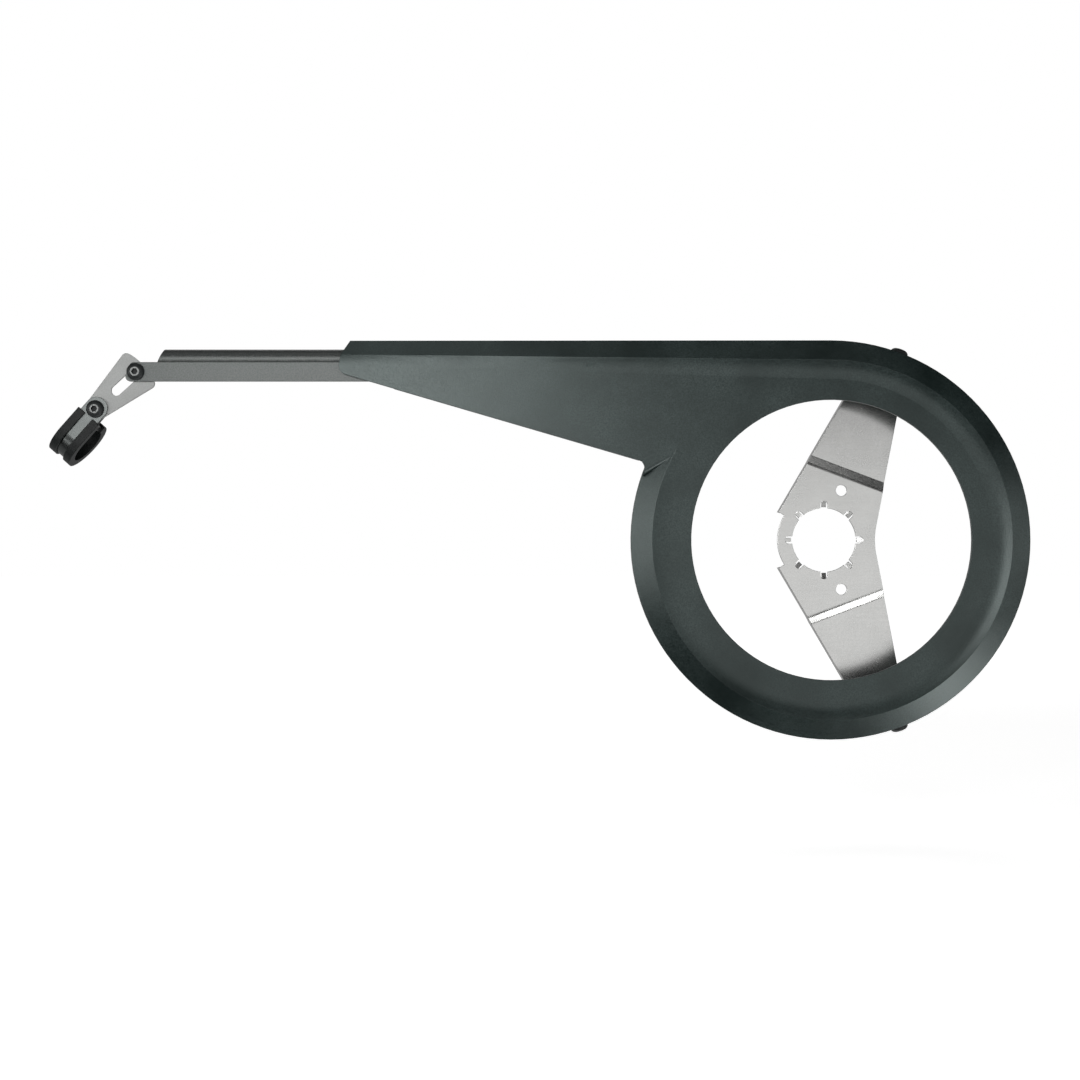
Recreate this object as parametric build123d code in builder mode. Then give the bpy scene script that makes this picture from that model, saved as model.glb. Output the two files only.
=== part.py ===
from build123d import *
from math import cos, radians, sin, sqrt
import os

os.makedirs("parts", exist_ok=True)

# Bicycle chain guard. X points to the front of the bicycle, Y to the bicycle and Z up.
# The origin is on the bottom bracket axis, on the plate's face that seats on the bracket shell.

# Guard shell
wall = 2.4
face_standoff = 23.5
ring_hole_r = 75.0
ring_r = 107.0
flank_width = 11.0
flare_width = 10.0
ridge_height = 2.5
flank_edge_depth = 3.0
rim_depth = 15.0
seam_overlap = 4.0

# Where the raised rim runs out on the left of the ring
fade_ridge = 0.05
fade_edge_depth = 4.8
fade_rim_depth = 7.5
fade_angle = 120.2
scoop_angle = 150.5
scoop_width = 2.4
scoop_depth = 6.0
scoop_inset = 0.4

# Rear arm of the guard
arm_length = 264.0
arm_end_height = 17.3
arm_slope = 16.3
arm_flank_width = 7.7
arm_round = 0.6
arm_round_width = 6.0
arm_edge_depth = 4.8
arm_top_setback = 6.3
arm_crease_setback = 1.7
arm_corner_r = 5.0
inner_corner_r = 4.0
lip_depth = 5.0
lip_setback = 30.0

# Bottom bracket plate
sheet = 1.5
bore_r = 17.5
hub_r = 25.6
bracket_angle = 20.7
bracket_half_root_rear = 29.6
bracket_half_root_front = 27.0
bracket_taper = 0.17
hub_notch_r = 40.0
joggle_start = 36.2
joggle_length = 4.4
joggle_step = 1.8
bend_r = 2.0
flange_depth = 6.0
flange_start = 5.6
flange_end_gap = 7.0
claw_count = 8
claw_notch_width = 4.0
claw_notch_reach = 3.9
claw_width = 2.4
claw_drop = 0.8
claw_bore_gap = 0.5
plate_hole_r = 3.0
plate_hole_x = 9.5
plate_hole_z = 27.1
rim_screw_depth = 9.5
tab_past_screw = 4.6
tab_corner_r = 3.0
pad_margin = 1.0

# Extension arm, a profile that slides behind the guard's plate
slide_gap = 0.3
strip_thickness = 2.0
strip_height = 10.3
strip_top_drop = 11.7
hood_r = 5.3
hood_curl = 23.0
hood_setin = 0.7
hood_wall = 1.6
hood_back = 4.0
extension_reach = 115.0
tab_slant = 4.0
tab_end_r = 2.5
hood_setback = 17.9
hood_slant = 3.5
slide_travel = 12.0
slide_setback = 40.0
boss_spacing = 18.0
boss_r = 2.5
boss_recess = 0.2
boss_skin = 1.1
slide_end_margin = 5.0

# Stay link, clamp and their two bolts
link_bolt_setback = 6.6
bolt_distance = 29.6
link_angle = 222.3
link_sheet = 1.5
link_root_r = 6.0
link_spread = 11.0
link_outer_r = 34.7
link_corner_r = 3.0
link_slot_start = 14.9
link_slot_margin = 4.3
clamp_angle = 228.5
band_sheet = 1.0
band_width = 12.0
ear_end = 6.6
band_bend_r = 1.2
loop_reach = 19.5
stay_r = 10.0
lining = 2.0
lining_start = 7.0
lip_start = 5.0
lining_lip = 1.1
lining_side = 1.2
lining_lip_width = 3.4
lining_gap = 0.05
near_end_gap = 1.3

# M5 button head bolts, nuts and washers, and the slide's screws
bolt_r = 2.5
head_r = 4.75
head_height = 2.75
head_brim = 0.5
head_shoulder = 1.8
head_shoulder_r = 3.87
head_flat_r = 2.6
socket_af = 3.0
socket_depth = 1.6
nut_af = 8.0
nut_height = 4.0
washer_r = 5.0
washer_thickness = 1.0
thread_past_nut = 1.3
hole_play = 0.2
slot_play = 0.3
thread_play = 0.05
slide_screw_r = 1.75
slide_head_r = 3.6
slide_head_height = 2.4
slide_head_chamfer = 1.0
slide_washer_r = 4.6

# Places that follow from the sizes above
crease_r = ring_r - flank_width
arm_end_x = -arm_length
arm_end_low_z = ring_r - arm_end_height
arm_crease_z = ring_r - arm_flank_width
strip_top_z = ring_r - strip_top_drop
strip_low_z = strip_top_z - strip_height
tab_low_x = arm_end_x - extension_reach
tab_top_x = tab_low_x + tab_slant
hood_low_x = tab_low_x + hood_setback
hood_top_x = hood_low_x + hood_slant
slide_center_x = arm_end_x + slide_setback
face_y = -sheet - face_standoff
plate_back_y = face_y + wall
strip_y = plate_back_y + slide_gap
strip_back_y = strip_y + strip_thickness
link_back_y = strip_back_y + link_sheet
ear_y = strip_back_y - band_sheet
rear_ear_back_y = link_back_y + band_sheet
strip_mid_z = (strip_low_z + strip_top_z) / 2
link_bolt_at = Vector(tab_low_x + link_bolt_setback, 0, strip_mid_z)


def front_plane(level):
    """Plane across the guard at a level along Y, seen from the front."""
    return Plane.XZ.offset(-level)


def polar(radius, angle):
    """Point of the front view at a radius and an angle from +X."""
    return (radius * cos(radians(angle)), radius * sin(radians(angle)))


def flat(point):
    """Front view coordinates of a point."""
    return (point.X, point.Z)


def rim_section(plane, ridge, crease, flare, edge, rear):
    """Wall section of the guard's rim: plate, curved flare to the ridge, flank and rear wall."""
    with BuildSketch(plane) as section:
        with BuildLine():
            Line((face_y, crease - flare - seam_overlap), (face_y, crease - flare))
            TangentArc((face_y, crease - flare), (face_y - ridge, crease), tangent=(0, 1))
            Polyline((face_y - ridge, crease), (face_y + edge, ring_r), (face_y + rear, ring_r))
            offset(amount=wall, side=Side.RIGHT, kind=Kind.INTERSECTION)
        make_face()
    return section.sketch.face()


def button_bolt(seat, length):
    """Button head bolt with a hexagon socket, its head on the seat plane."""
    with BuildPart() as bolt:
        with BuildSketch(Plane(seat.origin, x_dir=seat.x_dir, z_dir=-seat.y_dir)):
            with BuildLine():
                Polyline((0, head_height), (0, -length), (bolt_r, -length), (bolt_r, 0), (head_r, 0),
                         (head_r, head_brim), (head_shoulder_r, head_shoulder),
                         (head_flat_r, head_height), close=True)
            make_face()
        revolve(axis=Axis(seat.origin, seat.z_dir))
        with BuildSketch(seat.offset(head_height)):
            RegularPolygon(socket_af / 2, 6, major_radius=False)
        extrude(amount=-socket_depth, mode=Mode.SUBTRACT)
    return bolt.part


def hex_nut(seat):
    """Hexagon nut that stands on the seat plane."""
    with BuildPart() as nut:
        with BuildSketch(seat):
            RegularPolygon(nut_af / 2, 6, major_radius=False)
            Circle(bolt_r + thread_play, mode=Mode.SUBTRACT)
        extrude(amount=nut_height)
    return nut.part


def washer(seat, outer_r, inner_r):
    """Flat washer that lies on the seat plane."""
    with BuildPart() as disc:
        with BuildSketch(seat):
            Circle(outer_r)
            Circle(inner_r, mode=Mode.SUBTRACT)
        extrude(amount=washer_thickness)
    return disc.part


def spoke_plane(angle):
    """Plane through the bracket axis: local X outward at an angle from +X, local Y to the front."""
    outward = Vector(cos(radians(angle)), 0, sin(radians(angle)))
    return Plane((0, 0, 0), x_dir=outward, z_dir=outward.cross(Vector(0, -1, 0)))


def arm_plane(side):
    """Plane along one bracket arm, upper (1) or lower (-1)."""
    return spoke_plane(side * (90 - bracket_angle))


def rim_seat(side, radius):
    """Plane square to a bracket arm at a radius, on the axis of its rim screw."""
    arm = arm_plane(side)
    origin = arm.x_dir * radius + Vector(0, face_y + rim_screw_depth, 0)
    return Plane(origin, x_dir=(0, 1, 0), z_dir=arm.x_dir)


# The flat tab of each bracket arm fits under the round rim wall
tab_half = bracket_half_root_rear - bracket_taper * ring_r
tab_face_r = sqrt((ring_r - wall) ** 2 - tab_half ** 2) - pad_margin
flange_stop = tab_face_r - flange_end_gap

# Lower edge of the arm, the inner corner beside the ring and the end of the flank
edge_dir = Vector(cos(radians(arm_slope)), 0, -sin(radians(arm_slope)))
edge_normal = Vector(-sin(radians(arm_slope)), 0, -cos(radians(arm_slope)))
edge_start = Vector(arm_end_x, 0, arm_end_low_z)
corner_line = edge_start + edge_normal * inner_corner_r
corner_along = corner_line.dot(edge_dir)
corner_off = corner_line.dot(edge_normal)
corner_run = -sqrt((ring_r + inner_corner_r) ** 2 - corner_off ** 2) - corner_along
corner_center = corner_line + edge_dir * corner_run
corner_on_edge = corner_center - edge_normal * inner_corner_r
corner_on_ring = corner_center * (ring_r / (ring_r + inner_corner_r))
corner_mid = corner_center - (edge_normal + corner_center.normalized()).normalized() * inner_corner_r
scoop_tip = Vector(polar(crease_r, scoop_angle)[0], 0, polar(crease_r, scoop_angle)[1])

boss_places = [(slide_center_x + side * boss_spacing / 2, strip_mid_z) for side in (-1, 1)]

# Rounded step that closes the flank's end under the arm
slope_run = scoop_tip - corner_on_ring
slope_dir = slope_run.normalized()
slope_from = corner_on_ring - slope_dir * scoop_width + Vector(0, face_y, 0)
with BuildPart() as flank_end:
    with BuildSketch(Plane(slope_from, x_dir=Vector(0, 1, 0).cross(slope_dir), z_dir=slope_dir)):
        with BuildLine():
            TangentArc((0, 0), (scoop_width, scoop_width), tangent=(1, 0))
            Polyline((scoop_width, scoop_width), (scoop_width, scoop_depth), (0, scoop_depth), (0, 0))
        make_face()
    extrude(amount=scoop_width + slope_run.length)
    with BuildSketch(front_plane(face_y)):
        Circle(ring_r - scoop_inset)
        Circle(crease_r - flare_width / 2, mode=Mode.SUBTRACT)
    extrude(amount=-scoop_depth, mode=Mode.INTERSECT)

# Guard shell: a dished ring whose raised rim runs out into a flat arm
front_rim = rim_section(Plane.YZ, ridge_height, crease_r, flare_width, flank_edge_depth, rim_depth)
fade_rim = rim_section(Plane.YZ, fade_ridge, crease_r, flare_width, fade_edge_depth, fade_rim_depth)
arm_rim = rim_section(Plane.YZ.offset(arm_end_x), -arm_round, arm_crease_z, arm_round_width,
                      arm_edge_depth, rim_depth)
plate_r = crease_r - flare_width - seam_overlap / 2
with BuildPart() as guard_shell:
    # Flat plate of the ring and the arm
    with BuildSketch(front_plane(face_y)):
        with BuildLine():
            Polyline(polar(ring_hole_r, scoop_angle), flat(scoop_tip), flat(corner_on_ring))
            ThreePointArc(flat(corner_on_ring), flat(corner_mid), flat(corner_on_edge))
            Polyline(flat(corner_on_edge), flat(edge_start),
                     (arm_end_x, arm_crease_z - arm_round_width - seam_overlap / 2), (0, plate_r),
                     polar(ring_hole_r, scoop_angle))
        make_face()
        Circle(plate_r)
    extrude(amount=-wall)
    # Raised rim: along the arm, round the front half, and fading out on the left
    loft([arm_rim, front_rim], ruled=True)
    revolve(front_rim, axis=Axis.Y, revolution_arc=180)
    with BuildLine(front_plane(face_y)) as fade_path:
        CenterArc((0, 0), crease_r, -90, -fade_angle)
    sweep(sections=[front_rim.rotate(Axis.Y, 180), fade_rim.rotate(Axis.Y, 180 + fade_angle)],
          path=fade_path.line, multisection=True)
    add(flank_end.part)
    # Stiffening lip along the arm's lower edge
    lip_from = edge_start + edge_dir * (lip_setback / edge_dir.X)
    with BuildSketch(front_plane(face_y)):
        with BuildLine():
            Polyline(flat(lip_from), flat(corner_on_edge), flat(corner_on_edge - edge_normal * wall),
                     flat(lip_from - edge_normal * wall), close=True)
        make_face()
    extrude(amount=-lip_depth)
    # Outline of the arm's rear end
    arm_crease_x = arm_end_x + arm_crease_setback
    arm_top_x = arm_end_x + arm_top_setback
    with BuildSketch(front_plane(face_y)) as arm_end:
        with BuildLine():
            Polyline(flat(corner_on_edge), flat(edge_start), (arm_crease_x, arm_crease_z),
                     (arm_top_x, ring_r), (arm_top_x, ring_r + wall), (0, ring_r + wall), (0, 0),
                     close=True)
        make_face()
        fillet(arm_end.vertices().sort_by_distance(flat(edge_start) + (0,))[:1], arm_corner_r)
        Circle(ring_r + wall)
    extrude(amount=rim_depth, both=True, mode=Mode.INTERSECT)
    # Crank opening
    with BuildSketch(front_plane(face_y)):
        Circle(ring_hole_r)
    extrude(amount=-rim_depth, mode=Mode.SUBTRACT)
    # Bosses that the extension arm slides on
    with BuildSketch(front_plane(plate_back_y)):
        with Locations(boss_places):
            Circle(boss_r)
    extrude(amount=-(strip_back_y - boss_recess - plate_back_y))
    with BuildSketch(front_plane(face_y + boss_skin)):
        with Locations(boss_places):
            Circle(slide_screw_r + thread_play)
    extrude(amount=-(strip_back_y - face_y), mode=Mode.SUBTRACT)
    # Flat pads and holes for the rim screws
    for side in (1, -1):
        with BuildSketch(rim_seat(side, tab_face_r)):
            Rectangle(2 * tab_past_screw, 2 * (tab_half + pad_margin))
        extrude(amount=ring_r - wall / 2 - tab_face_r)
        with Locations(rim_seat(side, ring_r)):
            Hole(bolt_r + hole_play, ring_r - tab_face_r + pad_margin)
guard_shell.part.label = "guard_shell"
export_step(guard_shell.part, "parts/guard_shell.step")

# Bottom bracket plate: one stamped sheet with two joggled, flanged arms
outline_plane = Plane((0, 0, 0), x_dir=arm_plane(1).x_dir, z_dir=(0, 1, 0))
tab_front = -(face_y + rim_screw_depth - tab_past_screw)
joggle_stop = joggle_start + joggle_length
claw_root_r = bore_r + claw_notch_reach + claw_bore_gap
claw_tip_r = bore_r + claw_bore_gap


def arm_half(root, along):
    """Half width of a bracket arm at a distance from the hub."""
    return root - bracket_taper * along


def flange(sign, root, start, stop):
    """Flange folded back along one edge of the upper bracket arm."""
    with BuildPart() as fold:
        with BuildSketch(arm_plane(1)):
            with BuildLine():
                Polyline((start, sheet / 2), (joggle_start, sheet / 2),
                         (joggle_stop, sheet / 2 - joggle_step), (stop, sheet / 2 - joggle_step),
                         (stop - flange_depth, -joggle_step - flange_depth),
                         (joggle_stop, -joggle_step - flange_depth), (joggle_start, -flange_depth),
                         (start, -flange_depth), close=True)
            make_face()
        extrude(amount=2 * hub_r, both=True)
        with BuildSketch(outline_plane):
            with BuildLine():
                Polyline((start, sign * arm_half(root, start)), (stop, sign * arm_half(root, stop)),
                         (stop, sign * (arm_half(root, stop) - sheet)),
                         (start, sign * (arm_half(root, start) - sheet)), close=True)
            make_face()
        extrude(amount=2 * hub_r, both=True, mode=Mode.INTERSECT)
    return fold.part


with BuildPart() as bracket_arm:
    with BuildSketch(arm_plane(1)):
        with BuildLine():
            FilletPolyline((0, 0), (joggle_start, 0), (joggle_stop, -joggle_step),
                           (tab_face_r, -joggle_step), (tab_face_r, tab_front), radius=bend_r + sheet)
            offset(amount=sheet, side=Side.LEFT)
        make_face()
    extrude(amount=2 * hub_r, both=True)
    with BuildSketch(outline_plane):
        with BuildLine():
            Polyline((0, 0), (flange_start, -arm_half(bracket_half_root_rear, flange_start)),
                     (ring_r, -arm_half(bracket_half_root_rear, ring_r)),
                     (ring_r, arm_half(bracket_half_root_front, ring_r)), (0, bracket_half_root_front),
                     close=True)
        make_face()
    extrude(amount=2 * hub_r, both=True, mode=Mode.INTERSECT)
    tab_end = bracket_arm.edges().group_by(Axis.Y)[0]
    fillet(tab_end.sort_by(SortBy.LENGTH)[:2], tab_corner_r)
    add(flange(-1, bracket_half_root_rear, flange_start, flange_stop))
    add(flange(1, bracket_half_root_front, joggle_stop, flange_stop))
    with Locations(rim_seat(1, tab_face_r)):
        Hole(bolt_r + hole_play, 2 * sheet)

with BuildPart() as bottom_bracket_plate:
    add(bracket_arm.part)
    mirror(about=Plane.XY)
    with BuildSketch(Plane.XZ):
        Circle(hub_r)
    extrude(amount=sheet)
    with BuildSketch(Plane.XZ):
        Circle(bore_r)
        with PolarLocations(bore_r, claw_count):
            SlotOverall(2 * claw_notch_reach, claw_notch_width)
        with Locations((plate_hole_x, plate_hole_z), (plate_hole_x, -plate_hole_z)):
            Circle(plate_hole_r)
    extrude(amount=sheet, mode=Mode.SUBTRACT)
    # Claws bent back into the notches, to grip the bracket shell
    for claw in range(claw_count):
        with BuildSketch(spoke_plane(claw * 360 / claw_count)):
            with BuildLine():
                Polyline((claw_root_r, 0), (claw_root_r, sheet), (claw_tip_r, sheet - claw_drop),
                         (claw_tip_r, -claw_drop), close=True)
            make_face()
        extrude(amount=claw_width / 2, both=True)
    upright_edges = bottom_bracket_plate.edges().filter_by(Axis.Y)
    fillet(upright_edges.sort_by_distance((bracket_half_root_front, 0, 0))[:1], hub_notch_r)
bottom_bracket_plate.part.label = "bottom_bracket_plate"
export_step(bottom_bracket_plate.part, "parts/bottom_bracket_plate.step")

# Extension arm: a flat strip under a rounded hood
strip_end_x = slide_center_x + boss_spacing / 2 + slide_travel + boss_r + slide_end_margin
hood_turn_y = strip_y + hood_setin + hood_r
hood_back_y = hood_turn_y + hood_back
hood_mid_z = strip_top_z + hood_r * sin(radians(hood_curl))
hood_top_z = hood_mid_z + hood_r
with BuildPart() as extension_arm:
    with BuildSketch(Plane.YZ.offset(tab_low_x)):
        with BuildLine():
            outside = CenterArc((hood_turn_y, hood_mid_z), hood_r, 90, 90 + hood_curl)
            inside = CenterArc((hood_turn_y, hood_mid_z), hood_r - hood_wall, 90, 90 + hood_curl)
            Polyline(outside @ 1, (strip_y, strip_top_z), (strip_y, strip_low_z),
                     (strip_back_y, strip_low_z), (strip_back_y, strip_top_z), inside @ 1)
            Polyline(inside @ 0, (hood_back_y, hood_top_z - hood_wall), (hood_back_y, hood_top_z),
                     outside @ 0)
        make_face()
    extrude(amount=strip_end_x - tab_low_x)
    with BuildSketch(front_plane(strip_y)) as strip_outline:
        with BuildLine():
            Polyline((strip_end_x, strip_low_z), (tab_low_x, strip_low_z), (tab_top_x, strip_top_z),
                     (hood_low_x, strip_top_z), (hood_top_x, hood_top_z), (strip_end_x, hood_top_z),
                     close=True)
        make_face()
        fillet(strip_outline.vertices().group_by(Axis.X)[:2], tab_end_r)
        with Locations((slide_center_x, strip_mid_z)):
            SlotCenterToCenter(boss_spacing + 2 * slide_travel, 2 * (boss_r + slot_play),
                               mode=Mode.SUBTRACT)
        with Locations(flat(link_bolt_at)):
            Circle(bolt_r + hole_play, mode=Mode.SUBTRACT)
    extrude(amount=hood_back_y - strip_y, both=True, mode=Mode.INTERSECT)
extension_arm.part.label = "extension_arm"
export_step(extension_arm.part, "parts/extension_arm.step")

# Stay link: a slotted sector between the extension arm and the clamp
to_clamp = Vector(cos(radians(link_angle)), 0, sin(radians(link_angle)))
clamp_bolt_at = link_bolt_at + to_clamp * bolt_distance
link_plane = Plane(clamp_bolt_at + Vector(0, strip_back_y, 0), x_dir=-to_clamp, z_dir=(0, -1, 0))
link_edge = sqrt(link_outer_r ** 2 - link_root_r ** 2)
link_slot_stop = link_outer_r - link_slot_margin
root_at = polar(link_root_r, 90 + link_spread)
edge_at = polar(link_edge, link_spread)
link_shoulder = (root_at[0] + edge_at[0], root_at[1] + edge_at[1])
with BuildPart() as stay_link:
    with BuildSketch(link_plane) as link_outline:
        with BuildLine():
            CenterArc((0, 0), link_root_r, 90 + link_spread, 180 - 2 * link_spread)
            Line((root_at[0], -root_at[1]), (link_shoulder[0], -link_shoulder[1]))
            ThreePointArc((link_shoulder[0], -link_shoulder[1]), (link_outer_r, 0), link_shoulder)
            Line(link_shoulder, root_at)
        make_face()
        fillet(link_outline.vertices().group_by(Axis.X)[-1], link_corner_r)
        Circle(bolt_r + hole_play, mode=Mode.SUBTRACT)
        with Locations(((link_slot_start + link_slot_stop) / 2, 0)):
            SlotCenterToCenter(link_slot_stop - link_slot_start, 2 * (bolt_r + slot_play),
                               mode=Mode.SUBTRACT)
    extrude(amount=-link_sheet)
stay_link.part.label = "stay_link"
export_step(stay_link.part, "parts/stay_link.step")

# Stay clamp: a band bent into a loop, with its two ears on either side of the link
to_loop = Vector(cos(radians(clamp_angle)), 0, sin(radians(clamp_angle)))
stay_axis = to_loop.cross(Vector(0, 1, 0))
band_r = stay_r + lining
loop_y = strip_back_y + band_r
near_x = loop_reach - band_r
with BuildPart() as clamp_band:
    with BuildSketch(Plane(clamp_bolt_at, x_dir=to_loop, z_dir=stay_axis)):
        with BuildLine():
            loop = CenterArc((loop_reach, loop_y), band_r, -90, 270)
            outside = CenterArc((loop_reach, loop_y), band_r + band_sheet, -90, 270)
            Line(loop @ 1, outside @ 1)
            Polyline(outside @ 0, (-ear_end, ear_y), (-ear_end, strip_back_y), loop @ 0)
        make_face()
        with BuildLine():
            FilletPolyline((near_x, loop_y), (near_x, link_back_y), (-ear_end, link_back_y),
                           radius=band_bend_r + band_sheet)
            offset(amount=band_sheet, side=Side.RIGHT)
        make_face()
    extrude(amount=band_width / 2, both=True)
    ear_corners = clamp_band.edges().filter_by(Axis.Y).group_by(Axis((0, 0, 0), to_loop))[0]
    fillet(ear_corners, band_width / 2 - hole_play)
    with BuildSketch(Plane(clamp_bolt_at + Vector(0, ear_y, 0), x_dir=to_loop, z_dir=(0, 1, 0))):
        Circle(bolt_r + hole_play)
    extrude(amount=rear_ear_back_y - ear_y, mode=Mode.SUBTRACT)
clamp_band.part.label = "clamp_band"
export_step(clamp_band.part, "parts/clamp_band.step")

# Rubber lining that wraps the band's edges
loop_center = clamp_bolt_at + to_loop * loop_reach + Vector(0, loop_y, 0)
band_edge = band_width / 2 + lining_gap
lining_edge = band_edge + lining_side
lip_edge = band_edge - lining_lip_width
lip_low_r = band_r + band_sheet + lining_gap
lip_top_r = lip_low_r + lining_lip
lining_plane = Plane(loop_center, x_dir=stay_axis, z_dir=to_loop)
with BuildPart() as clamp_rubber:
    with BuildSketch(lining_plane) as lining_section:
        with BuildLine():
            Polyline((0, stay_r), (lining_edge, stay_r), (lining_edge, lip_top_r), (lip_edge, lip_top_r),
                     (lip_edge, lip_low_r), (band_edge, lip_low_r), (band_edge, band_r - lining_gap),
                     (0, band_r - lining_gap), close=True)
        make_face()
        mirror(about=Plane.YZ)
    revolve(axis=Axis(loop_center, stay_axis), revolution_arc=270)
    extrude(lining_section.sketch, amount=-(loop_reach - lining_start))
    # Only the lips run on beside the front ear
    with BuildSketch(lining_plane):
        with BuildLine():
            Polyline((band_edge, band_r), (lining_edge, band_r), (lining_edge, lip_top_r),
                     (lip_edge, lip_top_r), (lip_edge, lip_low_r), (band_edge, lip_low_r), close=True)
        make_face()
        mirror(about=Plane.YZ)
    extrude(amount=-(loop_reach - lip_start))
    with BuildSketch(Plane(loop_center, x_dir=to_loop, z_dir=(0, -1, 0))):
        with Locations(((-band_r + lining_gap - stay_r) / 2, 0)):
            Rectangle(lining - lining_gap, 2 * band_edge)
    extrude(amount=loop_y - link_back_y - near_end_gap - band_bend_r)
clamp_rubber.part.label = "clamp_rubber"
export_step(clamp_rubber.part, "parts/clamp_rubber.step")

# Fasteners
link_bolt_length = link_back_y - strip_y + washer_thickness + nut_height + thread_past_nut
clamp_bolt_length = rear_ear_back_y - ear_y + nut_height + thread_past_nut
rim_screw_length = ring_r - tab_face_r + sheet + nut_height + thread_past_nut


def facing_front(point, level):
    """Seat plane that faces the viewer's side at a level along Y."""
    return Plane((point.X, level, point.Z), x_dir=(1, 0, 0), z_dir=(0, -1, 0))


def facing_back(point, level, x_dir=(1, 0, 0)):
    """Seat plane that faces the bicycle at a level along Y."""
    return Plane((point.X, level, point.Z), x_dir=x_dir, z_dir=(0, 1, 0))


with BuildPart() as link_bolt:
    add(button_bolt(facing_front(link_bolt_at, strip_y), link_bolt_length))
link_bolt.part.label = "link_bolt"
export_step(link_bolt.part, "parts/link_bolt.step")

with BuildPart() as link_washer:
    add(washer(facing_back(link_bolt_at, link_back_y), washer_r, bolt_r + hole_play))
link_washer.part.label = "link_washer"
export_step(link_washer.part, "parts/link_washer.step")

with BuildPart() as link_nut:
    add(hex_nut(facing_back(link_bolt_at, link_back_y + washer_thickness)))
link_nut.part.label = "link_nut"
export_step(link_nut.part, "parts/link_nut.step")

with BuildPart() as clamp_bolt:
    add(button_bolt(facing_front(clamp_bolt_at, ear_y), clamp_bolt_length))
clamp_bolt.part.label = "clamp_bolt"
export_step(clamp_bolt.part, "parts/clamp_bolt.step")

with BuildPart() as clamp_nut:
    add(hex_nut(facing_back(clamp_bolt_at, rear_ear_back_y, stay_axis)))
clamp_nut.part.label = "clamp_nut"
export_step(clamp_nut.part, "parts/clamp_nut.step")

with BuildPart() as rim_screws:
    for side in (1, -1):
        add(button_bolt(rim_seat(side, ring_r), rim_screw_length))
rim_screws.part.label = "rim_screws"
export_step(rim_screws.part, "parts/rim_screws.step")

with BuildPart() as rim_nuts:
    for side in (1, -1):
        seat = rim_seat(side, tab_face_r - sheet)
        add(hex_nut(Plane(seat.origin, x_dir=seat.x_dir, z_dir=-seat.z_dir)))
rim_nuts.part.label = "rim_nuts"
export_step(rim_nuts.part, "parts/rim_nuts.step")

with BuildPart() as slide_washers:
    for place in boss_places:
        seat = facing_back(Vector(place[0], 0, place[1]), strip_back_y)
        add(washer(seat, slide_washer_r, slide_screw_r + hole_play))
slide_washers.part.label = "slide_washers"
export_step(slide_washers.part, "parts/slide_washers.step")

slide_head_y = strip_back_y + washer_thickness
with BuildPart() as slide_screws:
    with BuildSketch(front_plane(slide_head_y)):
        with Locations(boss_places):
            Circle(slide_head_r)
    extrude(amount=-slide_head_height)
    chamfer(slide_screws.edges().group_by(Axis.Y)[-1], slide_head_chamfer)
    with BuildSketch(front_plane(slide_head_y)):
        with Locations(boss_places):
            Circle(slide_screw_r)
    extrude(amount=slide_head_y - face_y - boss_skin)
slide_screws.part.label = "slide_screws"
export_step(slide_screws.part, "parts/slide_screws.step")
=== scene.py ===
import math

import bpy
from bpy.props import FloatProperty, FloatVectorProperty, IntProperty, PointerProperty
from mathutils import Matrix, Vector


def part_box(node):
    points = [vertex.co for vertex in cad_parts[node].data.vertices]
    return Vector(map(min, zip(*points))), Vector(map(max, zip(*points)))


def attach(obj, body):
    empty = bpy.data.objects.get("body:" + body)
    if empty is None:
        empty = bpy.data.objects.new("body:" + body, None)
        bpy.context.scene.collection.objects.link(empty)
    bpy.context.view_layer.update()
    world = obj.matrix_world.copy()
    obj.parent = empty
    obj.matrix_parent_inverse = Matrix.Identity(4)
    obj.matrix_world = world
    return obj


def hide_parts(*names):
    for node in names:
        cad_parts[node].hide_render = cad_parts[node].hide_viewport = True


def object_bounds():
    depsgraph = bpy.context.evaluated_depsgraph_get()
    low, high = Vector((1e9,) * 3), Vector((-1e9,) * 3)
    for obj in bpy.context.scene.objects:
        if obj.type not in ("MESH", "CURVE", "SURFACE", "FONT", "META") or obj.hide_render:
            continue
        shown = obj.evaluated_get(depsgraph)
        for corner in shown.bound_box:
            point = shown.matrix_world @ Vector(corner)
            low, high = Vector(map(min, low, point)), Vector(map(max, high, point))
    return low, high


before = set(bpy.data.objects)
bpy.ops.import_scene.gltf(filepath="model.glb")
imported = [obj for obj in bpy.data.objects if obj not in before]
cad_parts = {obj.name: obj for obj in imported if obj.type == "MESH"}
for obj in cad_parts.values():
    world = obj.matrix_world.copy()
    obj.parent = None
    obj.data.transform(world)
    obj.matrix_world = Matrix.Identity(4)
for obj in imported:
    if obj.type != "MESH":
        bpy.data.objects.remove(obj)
cad_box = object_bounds()

bl_info = {
    "name": "Bicycle chain guard",
    "version": (1, 0, 0),
    "blender": (4, 5, 0),
    "location": "View3D > Sidebar > Chain guard",
    "description": "Finishes, fasteners and studio stage for a bicycle chain guard",
    "category": "Object",
}

# Degrees from the X axis to a rim screw, above and below
RIM_SCREW_ANGLE = 69.3
# Width of the camera's sensor in millimetres
SENSOR_WIDTH = 36.0
# The middle range of a noise texture, which holds nearly all of its values
NOISE_LOW = 0.3
NOISE_HIGH = 0.7
WHITE = (1.0, 1.0, 1.0, 1.0)


# Sizes and colours that a user would change


def length(name, description, default):
    """A length in metres, shown in the scene's unit."""
    return FloatProperty(name=name, description=description, default=default, min=0.0,
                         unit="LENGTH", precision=5)


def share(name, description, default):
    """A number from 0 to 1."""
    return FloatProperty(name=name, description=description, default=default, min=0.0, max=1.0,
                         subtype="FACTOR")


def tint(name, description, default):
    """A linear colour."""
    return FloatVectorProperty(name=name, description=description, default=default, size=3,
                               min=0.0, max=1.0, subtype="COLOR")


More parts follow.
